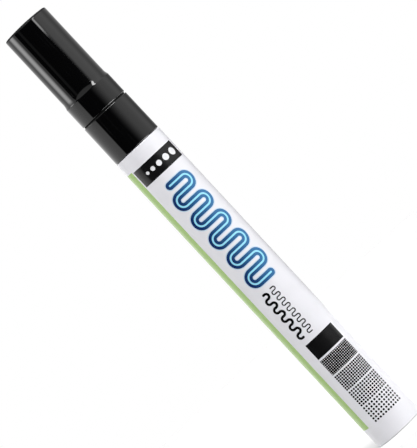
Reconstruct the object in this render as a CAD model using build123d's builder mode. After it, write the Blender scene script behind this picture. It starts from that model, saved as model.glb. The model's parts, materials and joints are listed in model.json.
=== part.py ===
from build123d import *
import math
import os

# Valve-action paint marker, standing on its base with the cap on top.
# The axis of the marker is Z, the middle of the base is the origin, and all lengths are millimetres.

# Barrel: drawn aluminium tube with a closed base
barrel_diameter = 14.4
barrel_length = 97.7
barrel_wall = 0.45
barrel_base_thickness = 1.0
barrel_base_radius = 0.5
barrel_corner_radius = 0.6
barrel_mouth_radius = 0.12
barrel_mouth_chamfer = 0.15

# Front holder: collar that shows, barbed plug in the barrel, neck and nose under the cap
collar_length = 12.5
collar_draft = 0.15
collar_edge_radius = 0.3
collar_front_edge_radius = 0.4
plug_length = 10.0
plug_wall = 1.45
plug_clearance = 0.05
plug_chamfer = 0.6
barb_count = 3
barb_height = 0.3
barb_length = 1.6
barb_land = 0.4
barb_spacing = 2.9
barb_start = 1.2
neck_length = 10.55
neck_edge_radius = 0.5
bead_length = 1.4
bead_rise = 3.4
bead_clearance = 0.05
nose_land_length = 2.2
nose_cone_length = 3.2
nose_taper = 0.6
nose_wall = 0.8
nose_edge_radius = 0.3
guide_length = 12.0
guide_cone_length = 1.0
flute_count = 4
flute_width = 0.6
flute_depth = 0.35
flute_stop = 2.0
chamber_gap = 1.0

# Nib: fibre rod with a bullet tip
nib_diameter = 3.6
nib_clearance = 0.05
nib_exposed = 5.2
nib_shoulder = 0.5
nib_taper_angle = 10.0
nib_chamfer = 0.25

# Cap: shell with a wider collar at its mouth, and ribs inside that hold the liner
cap_collar_step = 0.15
cap_flare_step = 0.3
cap_collar_length = 6.25
cap_flare_length = 1.4
cap_draft = 0.03
cap_wall = 1.05
cap_top = 2.0
cap_crown = 0.25
cap_edge_radius = 0.3
cap_mouth_radius = 0.4
cap_mouth_chamfer = 0.3
cap_clearance = 0.15
cap_rib_count = 6
cap_rib_width = 0.9
cap_rib_setback = 1.0

# Liner of the cap: a soft cup whose lip seals on the nose
liner_wall = 0.7
liner_top = 0.9
liner_clearance = 0.05
liner_lip_height = 0.15
liner_lip_length = 1.4
liner_mouth_gap = 0.3
liner_edge_radius = 0.3
tip_room = 5.75

# Valve: body with its seat, plunger, spring and retainer
valve_clearance = 0.05
valve_insert = 17.0
valve_end_gap = 0.2
valve_wall = 0.9
valve_flange_inset = 0.4
valve_flange_thickness = 1.2
valve_tail_length = 5.0
valve_edge_chamfer = 0.3
window_width = 2.6
window_margin = 0.5
seat_wall = 1.2
seat_angle = 45.0
seat_gap = 0.1
valve_travel = 2.0
travel_margin = 0.5
stem_diameter = 1.9
stem_gap = 0.45
head_height = 1.0
head_rim = 0.2
guide_pin_gap = 0.65
guide_pin_length = 10.0
guide_pin_chamfer = 0.3
spring_diameter = 4.6
spring_wire = 0.45
spring_end_gap = 0.05
spring_end_turns = 1
spring_end_turn_gap = 0.45
spring_active_turns = 7
retainer_plug_length = 1.6
retainer_flange_thickness = 0.8
retainer_clearance = 0.05
retainer_hole_diameter = 1.6
port_count = 6
port_diameter = 0.9
port_ring_share = 0.62

# Mixing balls: two steel balls loose in the paint
ball_diameter = 4.5
ball_clearance = 0.15
ball_floor_gap = 0.05

# How far a cut or a join runs past the face that it has to reach
overrun = 0.5

# Radii of the faces that fit each other, from the barrel inwards and from the nib outwards
barrel_radius = barrel_diameter / 2
barrel_bore = barrel_radius - barrel_wall
plug_barb_radius = barrel_bore - plug_clearance
plug_radius = plug_barb_radius - barb_height
valve_bore = plug_radius - plug_wall
valve_radius = valve_bore - valve_clearance
valve_chamber = valve_radius - valve_wall
collar_front_radius = barrel_radius - collar_draft
cap_collar_radius = barrel_radius - cap_collar_step
cap_body_radius = cap_collar_radius - cap_flare_step
cap_end_radius = cap_body_radius - cap_draft
cap_bore = cap_body_radius - cap_wall
neck_radius = cap_bore - cap_clearance
bead_radius = cap_bore - bead_clearance
nib_radius = nib_diameter / 2
nib_bore = nib_radius + nib_clearance
nib_chamber = nib_radius + chamber_gap
nose_tip_radius = nib_bore + nose_wall
nose_land_radius = nose_tip_radius + nose_taper
liner_lip_radius = nose_land_radius + liner_clearance
liner_bore = liner_lip_radius + liner_lip_height
liner_radius = liner_bore + liner_wall
cap_rib_radius = liner_radius + liner_clearance

# Heights of the seats along the axis
plug_end = barrel_length - plug_length
cap_seat = barrel_length + collar_length
neck_end = cap_seat + neck_length
land_end = neck_end + nose_land_length
nose_end = land_end + nose_cone_length
nib_tip = nose_end + nib_exposed
liner_ceiling = nib_tip + tip_room
cap_ceiling = liner_ceiling + liner_top
cap_end = cap_ceiling + cap_top
valve_front = plug_end + valve_insert
valve_flange_end = plug_end - valve_flange_thickness
valve_tail = valve_flange_end - valve_tail_length
nib_rear = valve_front + valve_travel + travel_margin
liner_mouth = neck_end + liner_mouth_gap
guide_start = nose_end - guide_length

os.makedirs("parts", exist_ok=True)


def corners(section, *places):
    """The corners of a section nearest to the given places."""
    return [section.vertices().sort_by_distance(place)[0] for place in places]


# Barrel, drawn in one piece with its base and rounded over at the mouth
with BuildPart() as barrel:
    with BuildSketch(Plane.XZ) as barrel_section:
        with BuildLine():
            Polyline(
                (0, 0),
                (barrel_radius, 0),
                (barrel_radius, barrel_length),
                (barrel_bore, barrel_length),
                (barrel_bore, barrel_base_thickness),
                (0, barrel_base_thickness),
                close=True,
            )
        make_face()
        fillet(corners(barrel_section, (barrel_radius, 0)), barrel_base_radius)
        fillet(corners(barrel_section, (barrel_bore, barrel_base_thickness)), barrel_corner_radius)
        fillet(corners(barrel_section, (barrel_radius, barrel_length)), barrel_mouth_radius)
        chamfer(corners(barrel_section, (barrel_bore, barrel_length)), barrel_mouth_chamfer)
    revolve(axis=Axis.Z)
barrel.part.label = "barrel"
export_step(barrel.part, "parts/barrel.step")

# Front holder: one moulding from the barbed plug to the nose, with the bores of the valve and the nib
with BuildPart() as front_holder:
    with BuildSketch(Plane.XZ) as holder_section:
        with BuildLine():
            barb_points = []
            for barb in range(barb_count):
                barb_foot = plug_end + barb_start + barb * barb_spacing
                barb_points += [
                    (plug_radius, barb_foot),
                    (plug_barb_radius, barb_foot + barb_length),
                    (plug_barb_radius, barb_foot + barb_length + barb_land),
                    (plug_radius, barb_foot + barb_length + barb_land),
                ]
            bead_foot = cap_seat + bead_rise
            Polyline(
                (valve_bore, plug_end),
                (plug_radius - plug_chamfer, plug_end),
                (plug_radius, plug_end + plug_chamfer),
                *barb_points,
                (plug_radius, barrel_length),
                (barrel_radius, barrel_length),
                (collar_front_radius, cap_seat),
                (neck_radius, cap_seat),
                (neck_radius, bead_foot),
            )
            ThreePointArc(
                (neck_radius, bead_foot),
                (bead_radius, bead_foot + bead_length / 2),
                (neck_radius, bead_foot + bead_length),
            )
            Polyline(
                (neck_radius, bead_foot + bead_length),
                (neck_radius, neck_end),
                (nose_land_radius, neck_end),
                (nose_land_radius, land_end),
                (nose_tip_radius, nose_end),
                (nib_bore, nose_end),
                (nib_bore, guide_start),
                (nib_chamber, guide_start - guide_cone_length),
                (nib_chamber, valve_front + valve_end_gap),
                (valve_bore, valve_front + valve_end_gap),
                (valve_bore, plug_end),
            )
        make_face()
        fillet(corners(holder_section, (barrel_radius, barrel_length)), collar_edge_radius)
        fillet(corners(holder_section, (collar_front_radius, cap_seat)), collar_front_edge_radius)
        fillet(corners(holder_section, (neck_radius, neck_end)), neck_edge_radius)
        nose_edges = corners(holder_section, (nose_land_radius, land_end), (nose_tip_radius, nose_end))
        fillet(nose_edges, nose_edge_radius)
    revolve(axis=Axis.Z)
    # Flutes along the nib's guide let paint past the nib, and stop short of the mouth
    with BuildSketch(Plane.XY.offset(guide_start - guide_cone_length)):
        with PolarLocations(nib_bore, flute_count):
            Rectangle(2 * flute_depth, flute_width)
    extrude(amount=guide_cone_length + guide_length - flute_stop, mode=Mode.SUBTRACT)
front_holder.part.label = "front_holder"
export_step(front_holder.part, "parts/front_holder.step")

# Nib: straight rod, tapered where it leaves the nose, with a ball tip that the taper runs into
nib_taper_foot = nose_end + nib_shoulder
nib_taper_sine = math.sin(math.radians(nib_taper_angle))
nib_taper_cosine = math.cos(math.radians(nib_taper_angle))
nib_ball_reach = nib_radius * nib_taper_cosine - (nib_tip - nib_taper_foot) * nib_taper_sine
nib_ball_radius = nib_ball_reach / (1 - nib_taper_sine)
nib_taper_end = (nib_ball_radius * nib_taper_cosine, nib_tip - nib_ball_radius * (1 - nib_taper_sine))
with BuildPart() as nib:
    with BuildSketch(Plane.XZ) as nib_section:
        with BuildLine():
            Polyline(
                (0, nib_tip),
                (0, nib_rear),
                (nib_radius, nib_rear),
                (nib_radius, nib_taper_foot),
                nib_taper_end,
            )
            TangentArc((0, nib_tip), nib_taper_end, tangent=(1, 0))
        make_face()
        chamfer(corners(nib_section, (nib_radius, nib_rear)), nib_chamfer)
    revolve(axis=Axis.Z)
nib.part.label = "nib"
export_step(nib.part, "parts/nib.step")

# Cap shell: collar, concave flare and drafted body under a slightly crowned end
with BuildPart() as cap_shell:
    with BuildSketch(Plane.XZ) as cap_section:
        with BuildLine():
            flare_foot = cap_seat + cap_collar_length
            flare_end = flare_foot + cap_flare_length
            Polyline(
                (cap_bore, cap_ceiling),
                (cap_bore, cap_seat),
                (cap_collar_radius, cap_seat),
                (cap_collar_radius, flare_foot),
            )
            TangentArc((cap_body_radius, flare_end), (cap_collar_radius, flare_foot), tangent=(0, -1))
            Line((cap_body_radius, flare_end), (cap_end_radius, cap_end - cap_crown))
            TangentArc((0, cap_end), (cap_end_radius, cap_end - cap_crown), tangent=(1, 0))
            Polyline((0, cap_end), (0, cap_ceiling), (cap_bore, cap_ceiling))
        make_face()
        fillet(corners(cap_section, (cap_end_radius, cap_end - cap_crown)), cap_edge_radius)
        fillet(corners(cap_section, (cap_collar_radius, cap_seat)), cap_mouth_radius)
        chamfer(corners(cap_section, (cap_bore, cap_seat)), cap_mouth_chamfer)
    revolve(axis=Axis.Z)
    cap_rib_foot = liner_mouth + cap_rib_setback
    cap_rib_reach = cap_bore + overrun - cap_rib_radius
    with BuildSketch(Plane.XY.offset(cap_rib_foot)):
        with PolarLocations(cap_rib_radius + cap_rib_reach / 2, cap_rib_count):
            Rectangle(cap_rib_reach, cap_rib_width)
    extrude(amount=cap_ceiling + overrun - cap_rib_foot)
cap_shell.part.label = "cap_shell"
export_step(cap_shell.part, "parts/cap_shell.step")

# Liner: cup held between the cap's ribs, with a lip inside its mouth
with BuildPart() as inner_cap:
    with BuildSketch(Plane.XZ) as liner_section:
        with BuildLine():
            liner_lip_end = liner_mouth + liner_lip_length
            Polyline(
                (0, liner_ceiling),
                (liner_bore, liner_ceiling),
                (liner_bore, liner_lip_end + liner_lip_height),
                (liner_lip_radius, liner_lip_end),
                (liner_lip_radius, liner_mouth),
                (liner_radius, liner_mouth),
                (liner_radius, cap_ceiling),
                (0, cap_ceiling),
                close=True,
            )
        make_face()
        liner_edges = corners(liner_section, (liner_radius, liner_mouth), (liner_radius, cap_ceiling))
        fillet(liner_edges, liner_edge_radius)
        fillet(corners(liner_section, (liner_bore, liner_ceiling)), liner_edge_radius)
    revolve(axis=Axis.Z)
inner_cap.part.label = "inner_cap"
export_step(inner_cap.part, "parts/inner_cap.step")

# Valve body: tube with the seat at its front, a flange behind the plug and windows for the paint
seat_hole = stem_diameter / 2 + stem_gap
seat_top = valve_front - seat_wall
seat_slope = 1 / math.tan(math.radians(seat_angle))
seat_end = seat_top - (valve_chamber - seat_hole) * seat_slope
valve_flange_radius = plug_radius - valve_flange_inset
retainer_top = valve_tail + retainer_plug_length
with BuildPart() as valve_body:
    with BuildSketch(Plane.XZ) as valve_section:
        with BuildLine():
            Polyline(
                (seat_hole, valve_front),
                (seat_hole, seat_top),
                (valve_chamber, seat_end),
                (valve_chamber, valve_tail),
                (valve_radius, valve_tail),
                (valve_radius, valve_flange_end),
                (valve_flange_radius, valve_flange_end),
                (valve_flange_radius, plug_end),
                (valve_radius, plug_end),
                (valve_radius, valve_front),
                close=True,
            )
        make_face()
        chamfer(corners(valve_section, (valve_radius, valve_front)), valve_edge_chamfer)
    revolve(axis=Axis.Z)
    window_top = valve_flange_end - window_margin
    window_foot = retainer_top + window_margin
    for window_plane in (Plane.XZ, Plane.YZ):
        with BuildSketch(window_plane):
            with Locations((0, (window_top + window_foot) / 2)):
                Rectangle(window_width, window_top - window_foot)
        extrude(amount=valve_radius + overrun, both=True, mode=Mode.SUBTRACT)
valve_body.part.label = "valve_body"
export_step(valve_body.part, "parts/valve_body.step")

# Plunger: stem under the nib, cone behind the seat and a pin inside the spring
spring_radius = spring_diameter / 2
stem_radius = stem_diameter / 2
head_radius = spring_radius + head_rim
guide_pin_radius = spring_radius - spring_wire - guide_pin_gap
seat_back_off = seat_gap / math.sin(math.radians(seat_angle))
head_cone_top = seat_top + (seat_hole - stem_radius) * seat_slope - seat_back_off
head_cone_end = head_cone_top - (head_radius - stem_radius) * seat_slope
head_end = head_cone_end - head_height
with BuildPart() as valve_plunger:
    with BuildSketch(Plane.XZ) as plunger_section:
        with BuildLine():
            Polyline(
                (0, nib_rear),
                (stem_radius, nib_rear),
                (stem_radius, head_cone_top),
                (head_radius, head_cone_end),
                (head_radius, head_end),
                (guide_pin_radius, head_end),
                (guide_pin_radius, head_end - guide_pin_length),
                (0, head_end - guide_pin_length),
                close=True,
            )
        make_face()
        pin_edge = corners(plunger_section, (guide_pin_radius, head_end - guide_pin_length))
        chamfer(pin_edge, guide_pin_chamfer)
    revolve(axis=Axis.Z)
valve_plunger.part.label = "valve_plunger"
export_step(valve_plunger.part, "parts/valve_plunger.step")

# Spring: one wire with a close turn at each end, on arcs that meet tangent at every quarter turn
quarters_per_turn = 4
spring_coil_radius = spring_radius - spring_wire / 2
spring_foot = retainer_top + spring_end_gap + spring_wire / 2
spring_rise = head_end - spring_end_gap - spring_wire / 2 - spring_foot
spring_end_pitch = spring_wire + spring_end_turn_gap
spring_pitch = (spring_rise - 2 * spring_end_turns * spring_end_pitch) / spring_active_turns
spring_turns = 2 * spring_end_turns + spring_active_turns


def spring_height(quarter):
    """Height of the wire's centre line after a count of quarter turns."""
    turn = quarter / quarters_per_turn
    active = min(max(turn - spring_end_turns, 0), spring_active_turns)
    return spring_foot + (turn - active) * spring_end_pitch + active * spring_pitch


def spring_place(quarter):
    """A point of the wire's centre line, and the direction of the wire there."""
    angle = math.tau * quarter / quarters_per_turn
    point = Vector(
        spring_coil_radius * math.cos(angle),
        spring_coil_radius * math.sin(angle),
        spring_height(quarter),
    )
    around = spring_coil_radius * math.tau / quarters_per_turn
    climb = (spring_height(quarter + 1) - spring_height(quarter - 1)) / 2
    return point, Vector(-around * math.sin(angle), around * math.cos(angle), climb).normalized()


with BuildPart() as valve_spring:
    with BuildLine() as spring_path:
        for quarter in range(spring_turns * quarters_per_turn):
            start, start_way = spring_place(quarter)
            end, end_way = spring_place(quarter + 1)
            chord = end - start
            ways = start_way + end_way
            spread = 2 * (1 - start_way.dot(end_way))
            along = chord.dot(ways)
            reach = (math.sqrt(along**2 + spread * chord.dot(chord)) - along) / spread
            start_handle = start + start_way * reach
            end_handle = end - end_way * reach
            meeting = (start_handle + end_handle) / 2
            TangentArc(start, meeting, tangent=start_way)
            TangentArc(meeting, end, tangent=end_handle - start_handle)
    with BuildSketch(Plane(origin=spring_path.line @ 0, z_dir=spring_path.line % 0)):
        Circle(spring_wire / 2)
    sweep(path=spring_path.line)
valve_spring.part.label = "valve_spring"
export_step(valve_spring.part, "parts/valve_spring.step")

samples_per_turn = 24
spring_samples = spring_turns * samples_per_turn
spring_points = [spring_path.line @ (sample / spring_samples) for sample in range(spring_samples + 1)]
spring_spans = [
    (other - point).length
    for index, point in enumerate(spring_points)
    for other in spring_points[index + samples_per_turn // 2 :]
]
print(f"valve spring: least gap between turns {min(spring_spans) - spring_wire:.2f} mm")

# Retainer: plug in the tail of the valve body that the spring stands on, with ports for the paint
retainer_plug_radius = valve_chamber - retainer_clearance
retainer_hole = retainer_hole_diameter / 2
retainer_end = valve_tail - retainer_flange_thickness
port_ring_radius = retainer_hole + port_ring_share * (retainer_plug_radius - retainer_hole)
with BuildPart() as valve_retainer:
    with BuildSketch(Plane.XZ):
        with BuildLine():
            Polyline(
                (retainer_hole, retainer_top),
                (retainer_plug_radius, retainer_top),
                (retainer_plug_radius, valve_tail),
                (valve_radius, valve_tail),
                (valve_radius, retainer_end),
                (retainer_hole, retainer_end),
                close=True,
            )
        make_face()
    revolve(axis=Axis.Z)
    with BuildSketch(Plane.XY.offset(retainer_end - overrun)):
        with PolarLocations(port_ring_radius, port_count):
            Circle(port_diameter / 2)
    extrude(amount=retainer_top - retainer_end + 2 * overrun, mode=Mode.SUBTRACT)
valve_retainer.part.label = "valve_retainer"
export_step(valve_retainer.part, "parts/valve_retainer.step")

# Mixing balls, side by side on the floor of the barrel
ball_offset = barrel_bore - ball_clearance - ball_diameter / 2
ball_rest = barrel_base_thickness + ball_floor_gap + ball_diameter / 2
for ball_number, ball_side in ((1, 1), (2, -1)):
    with BuildPart() as mixing_ball:
        with Locations((ball_side * ball_offset, 0, ball_rest)):
            Sphere(ball_diameter / 2)
    mixing_ball.part.label = f"mixing_ball_{ball_number}"
    export_step(mixing_ball.part, f"parts/mixing_ball_{ball_number}.step")
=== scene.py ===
import json
import math

import bmesh
import bpy
from mathutils import Matrix, Vector


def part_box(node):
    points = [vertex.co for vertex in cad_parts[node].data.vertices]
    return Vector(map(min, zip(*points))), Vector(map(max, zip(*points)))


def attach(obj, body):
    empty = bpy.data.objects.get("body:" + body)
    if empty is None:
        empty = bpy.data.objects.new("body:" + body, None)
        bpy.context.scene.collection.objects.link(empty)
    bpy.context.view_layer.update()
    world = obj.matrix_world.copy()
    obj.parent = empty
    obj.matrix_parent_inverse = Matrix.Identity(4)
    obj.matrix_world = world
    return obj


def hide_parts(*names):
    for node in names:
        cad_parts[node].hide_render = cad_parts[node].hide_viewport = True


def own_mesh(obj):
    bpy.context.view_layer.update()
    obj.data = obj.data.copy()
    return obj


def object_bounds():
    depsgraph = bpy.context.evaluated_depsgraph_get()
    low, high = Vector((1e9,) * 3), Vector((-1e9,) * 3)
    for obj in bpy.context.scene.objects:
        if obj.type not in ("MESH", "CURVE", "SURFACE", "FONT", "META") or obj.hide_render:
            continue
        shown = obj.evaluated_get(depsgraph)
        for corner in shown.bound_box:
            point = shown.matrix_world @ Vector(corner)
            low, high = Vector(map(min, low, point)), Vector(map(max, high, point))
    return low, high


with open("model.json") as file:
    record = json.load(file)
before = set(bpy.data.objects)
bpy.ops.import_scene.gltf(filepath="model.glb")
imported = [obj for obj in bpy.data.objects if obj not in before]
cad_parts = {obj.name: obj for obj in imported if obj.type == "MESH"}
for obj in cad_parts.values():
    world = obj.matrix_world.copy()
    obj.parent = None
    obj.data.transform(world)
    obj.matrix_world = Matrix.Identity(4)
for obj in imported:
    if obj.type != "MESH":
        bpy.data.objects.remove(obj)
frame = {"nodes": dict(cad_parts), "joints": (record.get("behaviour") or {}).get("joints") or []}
cad_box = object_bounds()

# Barrel: an aluminium tube, drawn in one piece with its closed base and rounded at base and mouth.
# It is lacquered gloss white all over before it is printed. All lengths here are metres.
barrel_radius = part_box("barrel")[1].x
barrel_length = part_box("barrel")[1].z
barrel_wall, barrel_floor = 0.00045, 0.001
barrel_bore = barrel_radius - barrel_wall
barrel_base_round, barrel_corner_round, barrel_mouth_round = 0.0002, 0.0006, 0.00012
white_lacquer_colour = (0.85, 0.846, 0.89, 1)
thin_lacquer_colour = (0.83, 0.827, 0.865, 1)
foot_wear_height = (0.0001, 0.0008)
orange_peel_depth = 0.00001
rounding_steps, turning_steps = 6, 192
merge_distance = 1e-7
sharp_turn = math.radians(35)


def piece_of(name, work):
    """The finished piece of a mesh, smooth but for the edges where it turns sharply."""
    for face in work.faces:
        face.smooth = True
    mesh = bpy.data.meshes.new(name)
    work.to_mesh(mesh)
    work.free()
    mesh.set_sharp_from_angle(angle=sharp_turn)
    piece = bpy.data.objects.new(name, mesh)
    bpy.context.scene.collection.objects.link(piece)
    piece.modifiers.new("even_shading", "WEIGHTED_NORMAL").keep_sharp = True
    return piece


def rounded(work, corners, reach, steps):
    """Rounds corners of a line or a flat shape, from reach before each to reach after it."""
    bmesh.ops.bevel(
        work,
        geom=corners,
        offset=reach,
        segments=steps,
        profile=0.5,
        affect="VERTICES",
        material=-1,
    )


def turned(name, outline, steps=turning_steps, extra=None):
    """Half a section swung about the marker's axis. A corner is its radius, height and rounding."""
    work = bmesh.new()
    corners = [work.verts.new((radius, 0, height)) for radius, height, rounding in outline]
    for first, second in zip(corners, corners[1:]):
        work.edges.new((first, second))
    for corner, (radius, height, rounding) in zip(corners, outline):
        if rounding:
            rounded(work, [corner], rounding, rounding_steps)
    bmesh.ops.spin(
        work,
        geom=work.verts[:] + work.edges[:],
        cent=(0, 0, 0),
        axis=(0, 0, 1),
        angle=math.tau,
        steps=steps,
        use_merge=True,
    )
    bmesh.ops.remove_doubles(work, verts=work.verts[:], dist=merge_distance)
    bmesh.ops.recalc_face_normals(work, faces=work.faces[:])
    if extra:
        extra(work)
    return piece_of(name, work)


class Shade:
    """A socket in a node tree. Sums on it add Math nodes, and node() adds any other node."""

    def __init__(self, tree, socket=None):
        self.tree = tree
        self.socket = socket

    def node(self, kind, settings, values, output=0):
        """A new node: its settings come first, then the numbers, colours or links of its sockets."""
        made = self.tree.nodes.new(kind)
        for name, setting in settings.items():
            setattr(made, name, setting)
        for name, value in values.items():
            if isinstance(value, Shade):
                self.tree.links.new(value.socket, made.inputs[name])
            else:
                made.inputs[name].default_value = value
        return Shade(self.tree, made.outputs[output] if made.outputs else None)

    def sum(self, operation, first, second):
        return self.node("ShaderNodeMath", {"operation": operation}, {0: first, 1: second})

    def __add__(self, other):
        return self.sum("ADD", self, other)

    def __sub__(self, other):
        return self.sum("SUBTRACT", self, other)

    def __rsub__(self, other):
        return self.sum("SUBTRACT", other, self)

    def __mul__(self, other):
        return self.sum("MULTIPLY", self, other)

    __radd__ = __add__
    __rmul__ = __mul__


def rise(value, low, high):
    """Goes smoothly from 0 where value is low to 1 where it is high."""
    return value.node(
        "ShaderNodeMapRange",
        {"interpolation_type": "SMOOTHSTEP"},
        {"Value": value, "From Min": low, "From Max": high},
    )


def mixed(share, first, second):
    """The first colour where share is 0, and the second where it is 1."""
    factor, first_colour, second_colour, result = 0, 6, 7, 2
    sockets = {factor: share, first_colour: first, second_colour: second}
    return share.node("ShaderNodeMix", {"data_type": "RGBA"}, sockets, result)


def grain(place, scale, detail, stretch=(1, 1, 1)):
    """Soft noise from 0 to 1, scale lumps to the metre, drawn out along an axis of small stretch."""
    spread = place.node("ShaderNodeMapping", {}, {"Vector": place, "Scale": stretch})
    sockets = {"Vector": spread, "Scale": scale, "Detail": detail}
    return place.node("ShaderNodeTexNoise", {}, sockets, "Fac")


def along(place, axis):
    """How far a place or a direction reaches along one axis."""
    return place.node("ShaderNodeSeparateXYZ", {}, {"Vector": place}, axis)


def bumped(relief, strength, depth):
    """The normal of a surface with a relief from 0 to 1, depth high."""
    return relief.node("ShaderNodeBump", {}, {"Strength": strength, "Distance": depth, "Height": relief})


def new_finish(name):
    """An empty material, and the place on the piece that its nodes start from."""
    finish = bpy.data.materials.new(name)
    finish.use_nodes = True
    finish.node_tree.nodes.clear()
    return finish, Shade(finish.node_tree).node("ShaderNodeTexCoord", {}, {}, "Object")


def coat(place, values):
    """Ends a material with its shader and output."""
    shader = place.node("ShaderNodeBsdfPrincipled", {}, values)
    place.node("ShaderNodeOutputMaterial", {}, {"Surface": shader})


white_lacquer, place = new_finish("white_lacquer")
thin_lacquer = rise(grain(place, scale=260, detail=4), low=0.5, high=0.75)
foot = 1 - rise(along(place, "Z"), *foot_wear_height)
foot_wear = foot * rise(grain(place, scale=900, detail=4), low=0.45, high=0.7)
orange_peel = grain(place, scale=700, detail=1)
coat(
    place,
    {
        "Base Color": mixed(thin_lacquer, white_lacquer_colour, thin_lacquer_colour),
        "Roughness": 0.13 + 0.07 * grain(place, scale=160, detail=3) + 0.2 * foot_wear,
        "Normal": bumped(orange_peel, strength=0.12, depth=orange_peel_depth),
    },
)

barrel = turned(
    "barrel_tube",
    [
        (0, 0, 0),
        (barrel_radius, 0, barrel_base_round),
        (barrel_radius, barrel_length, barrel_mouth_round),
        (barrel_bore, barrel_length, 0),
        (barrel_bore, barrel_floor, barrel_corner_round),
        (0, barrel_floor, 0),
    ],
)
barrel.data.materials.append(white_lacquer)
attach(barrel, "barrel_unit")
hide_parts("barrel")

# Print on the barrel: films of gloss ink about a hundredth of a millimetre thick, screened on the lacquer.
# A film is drawn flat, with x round the barrel from the middle of its front and y up it, then laid on.
ink_sink, ink_lift, over_ink_lift = 0.000004, 0.000008, 0.000014
ink_roughness, ink_unevenness = 0.14, 0.1
film_cut = 0.0004


def laid_on(name, flat, lift, cut=True):
    """A flat shape as a film of ink round the barrel, which stands out from the lacquer by lift.
    It is cut into narrow strips so that it bends, which small spots have no need of."""
    if cut:
        left = min(vert.co.x for vert in flat.verts)
        right = max(vert.co.x for vert in flat.verts)
        count = max(1, round((right - left) / film_cut))
        for index in range(1, count):
            bmesh.ops.bisect_plane(
                flat,
                geom=flat.verts[:] + flat.edges[:] + flat.faces[:],
                plane_co=(left + (right - left) * index / count, 0, 0),
                plane_no=(1, 0, 0),
            )
    grown = bmesh.ops.extrude_face_region(flat, geom=flat.faces[:], use_keep_orig=True)
    face_corners = [item for item in grown["geom"] if isinstance(item, bmesh.types.BMVert)]
    bmesh.ops.translate(flat, verts=face_corners, vec=(0, 0, ink_sink + lift))
    for vert in flat.verts:
        turn = vert.co.x / barrel_radius
        reach = barrel_radius - ink_sink + vert.co.z
        vert.co = (reach * math.sin(turn), -reach * math.cos(turn), vert.co.y)
    bmesh.ops.recalc_face_normals(flat, faces=flat.faces[:])
    film = piece_of(name, flat)
    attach(film, "barrel_unit")
    return film


def patch(flat, left, right, low, high):
    """A rectangle drawn flat."""
    middle = Matrix.Translation(((left + right) / 2, (low + high) / 2, 0))
    size = Matrix.Diagonal((right - left, high - low, 1, 1))
    bmesh.ops.create_grid(flat, x_segments=1, y_segments=1, size=0.5, matrix=middle @ size)


def dot(flat, across, up, radius, sides):
    """A round spot drawn flat."""
    middle = Matrix.Translation((across, up, 0))
    bmesh.ops.create_circle(flat, cap_ends=True, segments=sides, radius=radius, matrix=middle)


def ink_sheen(place):
    """The roughness of screened ink, a little uneven."""
    return ink_roughness + ink_unevenness * grain(place, scale=420, detail=3)


def ink(name, colour, thin_colour):
    """A screened ink, a little thinner in spots."""
    finish, place = new_finish(name)
    thin = rise(grain(place, scale=2600, detail=3), low=0.5, high=0.8)
    coat(place, {"Base Color": mixed(thin, colour, thin_colour), "Roughness": ink_sheen(place)})
    return finish


# Panel at the top of the print: a solid black box with a row of growing white spots.
# The spots stand for line widths, and are screened over the black.
panel_left, panel_right = -0.00612, 0.00888
panel_low, panel_high = 0.08848, 0.09345
spot_count, spot_sides = 5, 32
spot_least, spot_growth, spot_gap = 0.00045, 0.00016, 0.00075
spot_start = -0.0033
black_ink = ink("black_ink", (0.005, 0.005, 0.0055, 1), (0.009, 0.009, 0.0095, 1))
white_ink = ink("white_ink", (0.84, 0.845, 0.87, 1), (0.8, 0.8, 0.83, 1))
flat = bmesh.new()
patch(flat, panel_left, panel_right, panel_low, panel_high)
panel = laid_on("print_panel", flat, ink_lift)
panel.data.materials.append(black_ink)

flat = bmesh.new()
spot_edge = spot_start
for spot in range(spot_count):
    spot_radius = spot_least + spot_growth * spot
    dot(flat, spot_edge + spot_radius, (panel_low + panel_high) / 2, spot_radius, spot_sides)
    spot_edge += 2 * spot_radius + spot_gap
spots = laid_on("print_panel_spots", flat, over_ink_lift)
spots.data.materials.append(white_ink)

# Green stripe: a plain band of light green down the left of the print and round towards the back.
# It runs from beside the panel almost to the base.
stripe_right, stripe_width = -0.0066, 0.008
stripe_low, stripe_high = 0.0057, 0.0938
green_ink = ink("green_ink", (0.365, 0.585, 0.146, 1), (0.42, 0.63, 0.205, 1))
flat = bmesh.new()
patch(flat, stripe_right - stripe_width, stripe_right, stripe_low, stripe_high)
stripe = laid_on("print_stripe", flat, ink_lift)
stripe.data.materials.append(green_ink)

# Scribble: one unbroken stroke in blue down the front, as a marker would leave it.
# It is printed in three colours, a pale glow, the blue line and its bright core.
scribble_field, scribble_runs = (-0.00363, 0.00593, 0.0506, 0.0859), 11
glow_width, line_width, core_width = 0.0027, 0.00215, 0.0005
glow_lift, line_lift, core_lift = 0.000006, 0.00001, 0.000014
half_turn_steps = 18
stroke_end_share, stroke_end_steps = 0.49, 8
deep_blue, light_blue = (0.006, 0.025, 0.128, 1), (0.042, 0.18, 0.41, 1)
blue_edges = (-0.0038, 0.0052)


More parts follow.
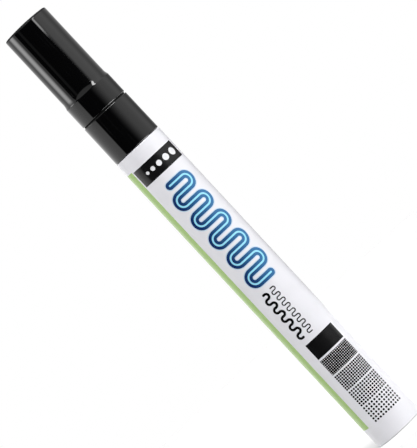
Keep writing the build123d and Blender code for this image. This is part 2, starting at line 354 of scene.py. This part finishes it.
def stroke(field, runs, full_width, width):
    """A stroke drawn flat in a field, left, right, low and high: runs across it, joined by half turns.
    One of full_width fills the field, and a narrower or wider one follows the same path."""
    flat = bmesh.new()
    left_edge, right_edge, low, high = field
    pitch = (high - low - full_width) / (runs - 1)
    reach = right_edge - left_edge - full_width - pitch
    left = (left_edge + right_edge - reach) / 2
    height = high - full_width / 2
    ends = [flat.verts.new((left - width / 2, height + side * width / 2, 0)) for side in (-1, 1)]
    front = [flat.edges.new(ends)]
    for run in range(runs):
        last = run == runs - 1
        way = 1 if run % 2 == 0 else -1
        length = reach + (width / 2 if run == 0 else 0) + (width / 2 if last else 0)
        grown = bmesh.ops.extrude_edge_only(flat, edges=front)["geom"]
        moved = [item for item in grown if isinstance(item, bmesh.types.BMVert)]
        bmesh.ops.translate(flat, verts=moved, vec=(way * length, 0, 0))
        front = [item for item in grown if isinstance(item, bmesh.types.BMEdge)]
        front = [edge for edge in front if all(vert in moved for vert in edge.verts)]
        if last:
            ends += moved
            break
        turned_front = bmesh.ops.spin(
            flat,
            geom=moved + front,
            cent=(left + (reach if way > 0 else 0), height - pitch / 2, 0),
            axis=(0, 0, 1),
            angle=-way * math.pi,
            steps=half_turn_steps,
        )["geom_last"]
        front = [item for item in turned_front if isinstance(item, bmesh.types.BMEdge)]
        height -= pitch
    bmesh.ops.remove_doubles(flat, verts=flat.verts[:], dist=merge_distance)
    rounded(flat, ends, stroke_end_share * width, stroke_end_steps)
    return flat


blue_ink, place = new_finish("blue_ink")
blue_shade = rise(along(place, "X"), *blue_edges)
coat(place, {"Base Color": mixed(blue_shade, deep_blue, light_blue), "Roughness": ink_sheen(place)})
pale_blue_ink = ink("pale_blue_ink", (0.62, 0.76, 0.88, 1), (0.67, 0.79, 0.88, 1))
bright_blue_ink = ink("bright_blue_ink", (0.33, 0.76, 0.93, 1), (0.42, 0.8, 0.94, 1))
films = (
    ("print_scribble_glow", glow_width, glow_lift, pale_blue_ink),
    ("print_scribble_line", line_width, line_lift, blue_ink),
    ("print_scribble_core", core_width, core_lift, bright_blue_ink),
)
for name, width, lift, finish in films:
    film = laid_on(name, stroke(scribble_field, scribble_runs, line_width, width), lift)
    film.data.materials.append(finish)

# Line samples: a fine and a bold stroke side by side under the scribble, as a marker would leave them.
# They are printed in the black ink of the panel.
samples = (
    ("print_fine_sample", (-0.0006, 0.0013, 0.0337, 0.0489), 17, 0.00032),
    ("print_bold_sample", (-0.0036, -0.0011, 0.0337, 0.0489), 11, 0.00068),
)
for name, field, runs, width in samples:
    sample = laid_on(name, stroke(field, runs, width, width), ink_lift)
    sample.data.materials.append(black_ink)

# Tone squares: one solid, one with small gaps and three of round dots, each coarser than the last.
# They are the usual tone scale of a print, which leans a little to the right as it goes up. The gaps are
# white spots over the black.
tone_left, tone_width, tone_lean = -0.00361, 0.00957, 0.0049
tone_solid = (0.02717, 0.03203)
tone_dense = (0.02182, 0.02662)
tone_gaps = (*tone_dense, 9, 17, 0.000126)
tone_dots = (
    (0.01647, 0.02137, 8, 15, 0.00029),
    (0.01109, 0.01609, 7, 13, 0.000299),
    (0.00576, 0.01071, 6, 11, 0.000302),
)
gap_inset, dot_lift, dot_sides = 0.00016, 0.00001, 12


def tone_edge(low):
    """The left edge of a square of the tone scale that starts at the height low."""
    return tone_left + tone_lean * low


def spotted(name, squares, inset, lift, finish):
    """Rows of round spots in tone squares: low, high, rows, columns and the radius of the spots."""
    flat = bmesh.new()
    for low, high, rows, columns, radius in squares:
        edge = inset + radius
        left = tone_edge(low)
        for row in range(rows):
            for column in range(columns):
                across = left + edge + (tone_width - 2 * edge) * column / (columns - 1)
                up = low + edge + (high - low - 2 * edge) * row / (rows - 1)
                dot(flat, across, up, radius, dot_sides)
    laid_on(name, flat, lift, cut=False).data.materials.append(finish)


flat = bmesh.new()
for low, high in (tone_solid, tone_dense):
    patch(flat, tone_edge(low), tone_edge(low) + tone_width, low, high)
laid_on("print_tone_solid", flat, ink_lift).data.materials.append(black_ink)
spotted("print_tone_gaps", [tone_gaps], gap_inset, over_ink_lift, white_ink)
spotted("print_tone_dots", tone_dots, 0, dot_lift, black_ink)

# Mixing balls: two loose steel balls, ground and polished.
# They roll in the barrel and stir the paint when the marker is shaken.
polished_steel_colour = (0.68, 0.68, 0.69, 1)


def dress(nodes, finish):
    """Gives its finish to CAD nodes that are shown as they are."""
    for node in nodes:
        frame["nodes"][node].data.materials.clear()
        frame["nodes"][node].data.materials.append(finish)


polished_steel, place = new_finish("polished_steel")
coat(
    place,
    {
        "Base Color": polished_steel_colour,
        "Metallic": 1.0,
        "Roughness": 0.08 + 0.14 * rise(grain(place, scale=2400, detail=6), low=0.55, high=0.75),
    },
)
dress(("mixing_ball_1", "mixing_ball_2"), polished_steel)

# Valve: a moulded body with its seat, the plunger that closes it, and a retainer snapped into the tail.
# They are natural white plastic, a little waxy, and sit in the plug of the front holder.
waxy_colour, pale_waxy_colour = (0.76, 0.75, 0.71, 1), (0.84, 0.83, 0.8, 1)
waxy_light_reach = (0.0012, 0.0011, 0.0009)
waxy_relief_depth = 0.00002
waxy_plastic, place = new_finish("waxy_plastic")
coat(
    place,
    {
        "Base Color": mixed(grain(place, scale=120, detail=3), waxy_colour, pale_waxy_colour),
        "Roughness": 0.38 + 0.14 * grain(place, scale=900, detail=4),
        "Subsurface Weight": 0.12,
        "Subsurface Radius": waxy_light_reach,
        "Subsurface Scale": 1.0,
        "Normal": bumped(grain(place, scale=3000, detail=3), strength=0.2, depth=waxy_relief_depth),
    },
)
dress(("valve_body", "valve_plunger", "valve_retainer"), waxy_plastic)

# Valve spring: drawn steel wire, coiled with a close turn at each end, standing on the retainer.
# It is drawn at rest; the real spring shortens against the retainer as the nib is pressed.
spring_low, spring_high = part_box("valve_spring")
spring_wire, wire_sides = 0.00045, 12
spring_end_turns, spring_end_pitch = 1, 0.0009
spring_active_turns, spring_steps = 7, 32
nib_press = next(joint for joint in frame["joints"] if joint["name"] == "nib_press")
press_travel = nib_press["range_m"][1]
spring_seat = nib_press["deforming_nodes"][0]["fixed_end_z_m"]
spring_rise = spring_high.z - spring_low.z - spring_wire
spring_pitch = (spring_rise - 2 * spring_end_pitch) / spring_active_turns
wire_colour, pale_wire_colour = (0.5, 0.5, 0.51, 1), (0.64, 0.64, 0.65, 1)
work = bmesh.new()
upright = Matrix.Rotation(math.pi / 2, 4, "X")
bmesh.ops.create_circle(work, segments=wire_sides, radius=spring_wire / 2, matrix=upright)
wire_centre = Vector((spring_high.x - spring_wire / 2, 0, spring_low.z + spring_wire / 2))
bmesh.ops.translate(work, verts=work.verts[:], vec=wire_centre)
wire_end = work.verts[:] + work.edges[:]
spring_end = (spring_end_turns, spring_end_pitch)
for turns, pitch in (spring_end, (spring_active_turns, spring_pitch), spring_end):
    wire_end = bmesh.ops.spin(
        work,
        geom=wire_end,
        cent=(0, 0, 0),
        axis=(0, 0, 1),
        dvec=(0, 0, pitch / spring_steps),
        angle=turns * math.tau,
        steps=turns * spring_steps,
    )["geom_last"]
bmesh.ops.remove_doubles(work, verts=work.verts[:], dist=merge_distance)
bmesh.ops.holes_fill(work, edges=[edge for edge in work.edges if edge.is_boundary])
bmesh.ops.recalc_face_normals(work, faces=work.faces[:])
spring = piece_of("valve_coil", work)
drawn_wire, place = new_finish("drawn_wire")
coat(
    place,
    {
        "Base Color": mixed(grain(place, scale=700, detail=3), wire_colour, pale_wire_colour),
        "Metallic": 1.0,
        "Roughness": 0.24 + 0.18 * grain(place, scale=5000, detail=3),
    },
)
spring.data.materials.append(drawn_wire)
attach(spring, "barrel_unit")
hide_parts("valve_spring")
1 - press_travel / (spring_high.z - spring_seat)
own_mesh(spring)

# Front holder: one black moulding. Its barbed plug is pressed into the barrel, and its collar is the black
# band below the cap. Its neck has a bead that grips the cap, and its nose carries the nib.
holder_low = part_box("front_holder")[0].z
nose_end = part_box("front_holder")[1].z
cap_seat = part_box("cap_shell")[0].z
valve_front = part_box("valve_body")[1].z
plug_clearance, plug_lead, plug_wall = 0.00035, 0.0006, 0.00145
plug_radius = barrel_bore - plug_clearance
valve_bore, valve_gap = plug_radius - plug_wall, 0.0002
barb_count, barb_clearance = 3, 0.00005
barb_radius = barrel_bore - barb_clearance
barb_start, barb_spacing, barb_length, barb_land = 0.0012, 0.0029, 0.0016, 0.0004
collar_foot_inset, collar_front_inset = 0.00005, 0.0001
collar_round, collar_front_round = 0.0004, 0.0002
seam_gap, seam_radius, seam_margin = 0.00036, 0.00672, 0.00001
bead_start, bead_length, bead_height, bead_steps = 0.0034, 0.0014, 0.0001, 6
bead_foot = cap_seat + bead_start
neck_radius, neck_round = 0.00555, 0.0005
nose_radius, nose_tip_radius, nose_round = 0.00325, 0.00265, 0.0003
nose_length, nose_taper_length = 0.0054, 0.0032
neck_end = nose_end - nose_length
nose_land_end = nose_end - nose_taper_length
nib_bore, nib_guide_length = 0.00185, 0.012
nib_chamber, nib_chamber_cone = 0.0028, 0.001
nib_guide_start = nose_end - nib_guide_length
gloss_black_colour, marked_black_colour = (0.0016, 0.0016, 0.0018, 1), (0.004, 0.004, 0.0042, 1)
mark_stretch = (1, 1, 0.05)
mould_ripple_depth = 0.00001
# Painted shade: a black a little darker than the gloss black, for the seam groove between cap and collar.
painted_seam_shade_colour = (0.0012, 0.0012, 0.0013, 1)
barbs = []
for barb in range(barb_count):
    barb_foot = holder_low + barb_start + barb_spacing * barb
    barbs += [
        (plug_radius, barb_foot, 0),
        (barb_radius, barb_foot + barb_length, 0),
        (barb_radius, barb_foot + barb_length + barb_land, 0),
        (plug_radius, barb_foot + barb_length + barb_land, 0),
    ]
bead = [
    (
        neck_radius + bead_height * math.sin(math.pi * step / bead_steps),
        bead_foot + bead_length * step / bead_steps,
        0,
    )
    for step in range(bead_steps + 1)
]
black_plastic, place = new_finish("black_plastic")
fine_marks = rise(grain(place, scale=2200, detail=3, stretch=mark_stretch), low=0.6, high=0.78)
coat(
    place,
    {
        "Base Color": mixed(fine_marks, gloss_black_colour, marked_black_colour),
        "Roughness": 0.02 + 0.02 * grain(place, scale=300, detail=4) + 0.06 * fine_marks,
        "Normal": bumped(grain(place, scale=260, detail=1), strength=0.1, depth=mould_ripple_depth),
    },
)
holder = turned(
    "front_section",
    [
        (valve_bore, holder_low, 0),
        (plug_radius - plug_lead, holder_low, 0),
        (plug_radius, holder_low + plug_lead, 0),
        *barbs,
        (plug_radius, barrel_length, 0),
        (barrel_radius - collar_foot_inset, barrel_length, collar_round),
        (barrel_radius - collar_front_inset, cap_seat - seam_gap, collar_front_round),
        (seam_radius, cap_seat - seam_gap, 0),
        (seam_radius, cap_seat, 0),
        (neck_radius, cap_seat, 0),
        *bead,
        (neck_radius, neck_end, neck_round),
        (nose_radius, neck_end, 0),
        (nose_radius, nose_land_end, nose_round),
        (nose_tip_radius, nose_end, nose_round),
        (nib_bore, nose_end, 0),
        (nib_bore, nib_guide_start, 0),
        (nib_chamber, nib_guide_start - nib_chamber_cone, 0),
        (nib_chamber, valve_front + valve_gap, 0),
        (valve_bore, valve_front + valve_gap, 0),
        (valve_bore, holder_low, 0),
    ],
)
holder.data.materials.append(black_plastic)
# The seam groove's faces get this darker, matt black with little gloss: painted shade in the groove
# between cap and collar.
painted_seam_shade, place = new_finish("painted_seam_shade")
coat(
    place,
    {
        "Base Color": painted_seam_shade_colour,
        "Roughness": 0.55 + 0.2 * grain(place, scale=2500, detail=3),
        "Specular IOR Level": 0.12,
    },
)
holder.data.materials.append(painted_seam_shade)
for face in holder.data.polygons:
    if cap_seat - seam_gap - seam_margin < face.center.z < cap_seat + seam_margin:
        face.material_index = holder.data.materials.find(painted_seam_shade.name)
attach(holder, "barrel_unit")
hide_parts("front_holder")

# Nib: a rod of bonded fibres, ground to a bullet tip.
# It slides in the nose and pushes the valve's plunger.
nib_low, nib_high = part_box("nib")
nib_radius = nib_high.x
nib_chamfer, nib_shoulder_round = 0.00025, 0.0003
nib_straight, nib_taper = 0.0005, math.radians(10)
nib_tip_round_share = 0.98
nib_taper_foot = nose_end + nib_straight
nib_flat = nib_radius - (nib_high.z - nib_taper_foot) * math.tan(nib_taper)
small_turning_steps = 96
fibre_colour, pale_fibre_colour = (0.55, 0.53, 0.48, 1), (0.66, 0.64, 0.59, 1)
fibre_stretch = (1, 1, 0.04)
nib = turned(
    "fibre_nib",
    [
        (0, nib_low.z, 0),
        (nib_radius - nib_chamfer, nib_low.z, 0),
        (nib_radius, nib_low.z + nib_chamfer, 0),
        (nib_radius, nib_taper_foot, nib_shoulder_round),
        (nib_flat, nib_high.z, nib_tip_round_share * nib_flat),
        (0, nib_high.z, 0),
    ],
    steps=small_turning_steps,
)
bonded_fibre, place = new_finish("bonded_fibre")
fibres = grain(place, scale=3000, detail=2, stretch=fibre_stretch)
coat(
    place,
    {
        "Base Color": mixed(fibres, fibre_colour, pale_fibre_colour),
        "Roughness": 0.75 + 0.15 * fibres,
        "Specular IOR Level": 0.15,
    },
)
nib.data.materials.append(bonded_fibre)
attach(nib, "nib_unit")
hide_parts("nib")

# Cap: a black moulded shell with a wider collar at its mouth and a slightly crowned end. It is gloss but
# for its end and the rounding there, which keep the fine satin of the mould. It is pushed on over the
# neck, and six ribs inside hold its liner.
cap_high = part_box("cap_shell")[1]
liner_low, liner_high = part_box("inner_cap")
cap_flare, cap_draft, cap_wall = 0.0003, 0.00003, 0.00105
cap_collar_radius = cap_high.x
cap_radius = cap_collar_radius - cap_flare
cap_end_radius = cap_radius - cap_draft
cap_bore = cap_radius - cap_wall
cap_mouth_round, cap_mouth_chamfer, cap_end_round = 0.0003, 0.0003, 0.0005
cap_crown = 0.0004
flare_start, flare_length, flare_rim_round = 0.00625, 0.0014, 0.00015
flare_foot = cap_seat + flare_start
curve_steps = 8
cap_rib_count, cap_rib_width, cap_rib_radius = 6, 0.0009, 0.0042
cap_rib_start, cap_rib_root = 0.001, 0.0003
cap_rib_foot = liner_low.z + cap_rib_start
satin_black_colour, pale_satin_colour = (0.002, 0.002, 0.0022, 1), (0.005, 0.005, 0.0053, 1)
satin_depth = 0.00001
satin_least_tilt = 0.25
flare = [
    (
        cap_radius + (cap_collar_radius - cap_radius) * (1 - step / curve_steps) ** 2,
        flare_foot + flare_length * step / curve_steps,
        flare_rim_round if step == 0 else 0,
    )
    for step in range(curve_steps + 1)
]
crown = [
    (
        cap_end_radius * (1 - step / curve_steps),
        cap_high.z - cap_crown * (1 - step / curve_steps) ** 2,
        0,
    )
    for step in range(1, curve_steps + 1)
]


def cap_ribs(work):
    """Six ribs that grow out of the cap's wall and end, and reach in to its liner."""
    reach = cap_bore - cap_rib_radius + cap_rib_root
    rib_height = liner_high.z - cap_rib_foot + cap_rib_root
    size = Matrix.Diagonal((reach, cap_rib_width, rib_height, 1))
    middle = Matrix.Translation((cap_rib_radius + reach / 2, 0, cap_rib_foot + rib_height / 2))
    for rib in range(cap_rib_count):
        turn = Matrix.Rotation(math.tau * rib / cap_rib_count, 4, "Z")
        bmesh.ops.create_cube(work, size=1, matrix=turn @ middle @ size)


cap = turned(
    "cap_body",
    [
        (0, liner_high.z, 0),
        (cap_bore, liner_high.z, 0),
        (cap_bore, cap_seat + cap_mouth_chamfer, 0),
        (cap_bore + cap_mouth_chamfer, cap_seat, 0),
        (cap_collar_radius, cap_seat, cap_mouth_round),
        *flare,
        (cap_end_radius, cap_high.z - cap_crown, cap_end_round),
        *crown,
    ],
    extra=cap_ribs,
)
cap.data.materials.append(black_plastic)
satin_black, place = new_finish("satin_black")
spark_grain = grain(place, scale=3200, detail=3)
coat(
    place,
    {
        "Base Color": mixed(spark_grain, satin_black_colour, pale_satin_colour),
        "Roughness": 0.56 + 0.12 * spark_grain,
        "Specular IOR Level": 0.12,
        "Normal": bumped(spark_grain, strength=0.25, depth=satin_depth),
    },
)
cap.data.materials.append(satin_black)
for face in cap.data.polygons:
    if face.center.z > cap_high.z - cap_crown - cap_end_round and face.normal.z > satin_least_tilt:
        face.material_index = cap.data.materials.find(satin_black.name)
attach(cap, "cap")
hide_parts("cap_shell")

# Liner: a soft cup of natural white plastic, pushed into the end of the cap.
# It has a lip that seals on the nose so that the nib stays wet.
liner_wall, liner_end_wall, liner_round = 0.0007, 0.0009, 0.0003
liner_lip_step, liner_lip_length = 0.00015, 0.0014
liner_radius = liner_high.x
liner_bore = liner_radius - liner_wall
liner_lip_radius = liner_bore - liner_lip_step
liner_lip_end = liner_low.z + liner_lip_length
liner_ceiling = liner_high.z - liner_end_wall
liner = turned(
    "cap_liner",
    [
        (0, liner_ceiling, 0),
        (liner_bore, liner_ceiling, liner_round),
        (liner_bore, liner_lip_end + liner_lip_step, 0),
        (liner_lip_radius, liner_lip_end, 0),
        (liner_lip_radius, liner_low.z, 0),
        (liner_radius, liner_low.z, liner_round),
        (liner_radius, liner_high.z, liner_round),
        (0, liner_high.z, 0),
    ],
    steps=small_turning_steps,
)
liner.data.materials.append(waxy_plastic)
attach(liner, "cap")
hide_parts("inner_cap")

# Studio: a white table that ends close in front of the marker, and surroundings that the camera sees as
# plain white. The gloss shows walls, panels, strips, ceiling and a dark front. Walls, panels and strips go
# by bearing, in radians from the front to the right, and feet, tops and ceiling by the sine of elevation.
left_wall_edge, left_wall_light = (-1.06, -0.97), 1.28
right_wall_edge, right_wall_light = (0.2, 1.1), 1.1
right_wall_end, right_wall_fall = (1.65, 2.4), 0.75
right_wall_foot, right_wall_least = (-0.0035, 0.002), 0.2
back_wall_edge, back_wall_light = (2.5, 2.9), 0.2
panel_foot, strip_top = (0.0256, 0.0268), (0.06, 0.6)
left_panel_edge, left_panel_light = (-1.24, -1.14), 0.83
right_panel_edge, right_panel_light = (0.66, 0.98), 1.4
right_panel_end, right_panel_fall = (1.45, 2.05), 0.58
bright_strip, bright_strip_light = (-2.06, -1.68, -1.6, -1.32), 4.6
dim_strip, dim_strip_light = (-0.88, -0.8, -0.7, -0.6), 0.12
thin_strip, thin_strip_light = (0.74, 0.8, 0.86, 0.92), 3.0
thin_strip_foot = (0.03, 0.25)
end_strip, end_strip_light = (0.62, 0.69, 0.72, 0.86), 6.5
end_strip_foot, end_strip_top = (0.0467, 0.0499), (0.06, 0.08)
ceiling_edge, ceiling_light = (0.12, 0.3), 0.55
ceiling_turn, ceiling_bow = 0.15, 0.35
table_radius, table_sides = 0.6, 96
table_front, table_drop = -0.03, 0.00002
table_light, table_sheen, table_bounce = 0.78, 0.95, 0.15

bpy.context.scene.view_settings.view_transform = "Standard"
studio = bpy.data.worlds.new("studio")
bpy.context.scene.world = studio
studio.use_nodes = True
studio.node_tree.nodes.clear()
way = Shade(studio.node_tree).node("ShaderNodeTexCoord", {}, {}, "Generated")
across = along(way, "X")
depth = along(way, "Y")
up = along(way, "Z")
bearing = across.sum("ARCTAN2", across, depth * -1)


def strip(edges):
    """One upright strip of the surroundings, soft at both edges."""
    return rise(bearing, *edges[:2]) * (1 - rise(bearing, *edges[2:]))


left_wall = (1 - rise(bearing, *left_wall_edge)) * left_wall_light
right_wall = rise(bearing, *right_wall_edge) * (1 - right_wall_fall * rise(bearing, *right_wall_end))
right_wall = right_wall * (right_wall_least + (1 - right_wall_least) * rise(up, *right_wall_foot))
walls = left_wall + right_wall * right_wall_light
left_panel = (1 - rise(bearing, *left_panel_edge)) * left_panel_light
right_panel_fade = 1 - right_panel_fall * rise(bearing, *right_panel_end)
right_panel = rise(bearing, *right_panel_edge) * right_panel_fade
strips = strip(bright_strip) * bright_strip_light + strip(dim_strip) * dim_strip_light
panels = left_panel + strips * (1 - rise(up, *strip_top)) + right_panel * right_panel_light
above = rise(up, *panel_foot)
sideways = bearing + ceiling_turn
ceiling = rise(up - sideways * sideways * ceiling_bow, *ceiling_edge)
around = (walls * (1 - above) + panels * above) * (1 - ceiling) + ceiling * ceiling_light
around = around + rise(bearing, *back_wall_edge) * back_wall_light
around = around + strip(thin_strip) * rise(up, *thin_strip_foot) * thin_strip_light
end_strip_height = rise(up, *end_strip_foot) * (1 - rise(up, *end_strip_top))
around = around + strip(end_strip) * end_strip_height * end_strip_light
seen = way.node("ShaderNodeLightPath", {}, {}, "Is Camera Ray")
clear = way.node("ShaderNodeLightPath", {}, {}, "Is Transmission Ray")
shown = seen.sum("MAXIMUM", seen, clear)
light = shown + (1 - shown) * around
sky = way.node("ShaderNodeBackground", {}, {"Color": (1, 1, 1, 1), "Strength": light})
way.node("ShaderNodeOutputWorld", {}, {"Surface": sky})

work = bmesh.new()
bmesh.ops.create_circle(work, cap_ends=True, segments=table_sides, radius=table_radius)
bmesh.ops.translate(work, verts=work.verts[:], vec=(0, 0, -table_drop))
bmesh.ops.bisect_plane(
    work,
    geom=work.verts[:] + work.edges[:] + work.faces[:],
    plane_co=(0, table_front, 0),
    plane_no=(0, 1, 0),
    clear_inner=True,
)
table = piece_of("table", work)
white_table, place = new_finish("white_table")
seen = place.node("ShaderNodeLightPath", {}, {}, "Is Camera Ray")
glossy = place.node("ShaderNodeLightPath", {}, {}, "Is Glossy Ray")
white = table_bounce + (table_sheen - table_bounce) * glossy + (table_light - table_bounce) * seen
matt = place.node("ShaderNodeBsdfDiffuse", {}, {"Color": white})
place.node("ShaderNodeOutputMaterial", {}, {"Surface": matt})
table.data.materials.append(white_table)

# Lamps: a key lamp at the front right, and fills at the front, left and back, that leave no glint.
# Six cards, one tall at the front right, two high and three low, show in the gloss alone, mostly at the
# rounded edges. A row gives a lamp's shape, size, power in watts, and bearing and elevation in degrees.
marker_middle = Vector((0, 0, (cad_box[0].z + cad_box[1].z) / 2))
lamp_distance = 1.0
soft_lamps = (
    ("key_lamp", "ELLIPSE", (0.5, 0.6), 4.7, 36, 36),
    ("fill_box", "RECTANGLE", (1.4, 0.9), 5.8, 14, 40),
    ("left_fill", "RECTANGLE", (0.6, 0.8), 1.0, -112, 25),
    ("back_fill", "RECTANGLE", (1.2, 0.8), 2.4, 170, 35),
)
cards = (
    ("key_card", "ELLIPSE", (0.2, 0.66), 3.8, 47, 33),
    ("low_card", "ELLIPSE", (0.8, 0.5), 14.0, 58, -38),
    ("high_card", "ELLIPSE", (0.3, 0.4), 4.5, 74, 62),
    ("high_front_card", "ELLIPSE", (0.45, 0.3), 5.0, 26, 60),
    ("low_front_card", "ELLIPSE", (0.7, 0.5), 4.0, 15, -38),
    ("low_side_card", "ELLIPSE", (0.8, 0.5), 4.5, 105, -38),
)


def lamp(name, shape, size, power, bearing, elevation):
    """An area lamp that faces the middle of the marker. Its bearing goes from the front to the right."""
    light = bpy.data.lights.new(name, "AREA")
    light.shape = shape
    light.size, light.size_y = size
    light.energy = power
    bearing = math.radians(bearing)
    elevation = math.radians(elevation)
    way = Vector((math.sin(bearing), -math.cos(bearing), math.tan(elevation))).normalized()
    made = bpy.data.objects.new(name, light)
    made.location = marker_middle + way * lamp_distance
    made.rotation_euler = way.to_track_quat("Z", "Y").to_euler()
    made.visible_camera = False
    bpy.context.scene.collection.objects.link(made)
    return made


for soft_lamp in soft_lamps:
    lamp(*soft_lamp).visible_glossy = False
for card in cards:
    lamp(*card).visible_diffuse = False

# Camera: a long lens in front of the marker, a little above its middle.
# It is held aslant, so that the upright marker lies across the picture from corner to corner.
camera_place = Vector((0, -0.9, 0.095))
camera_target = Vector((-0.00028, 0, 0.07102))
camera_roll = math.radians(42.9)
camera_lens_mm, camera_sensor_mm = 285.3, 36
lens = bpy.data.cameras.new("camera")
lens.lens = camera_lens_mm
lens.sensor_width = camera_sensor_mm
camera = bpy.data.objects.new("camera", lens)
backward = (camera_place - camera_target).normalized()
level = backward.to_track_quat("Z", "Y").to_matrix().to_4x4()
camera.matrix_world = Matrix.Translation(camera_place) @ level @ Matrix.Rotation(-camera_roll, 4, "Z")
bpy.context.scene.collection.objects.link(camera)
bpy.context.scene.camera = camera
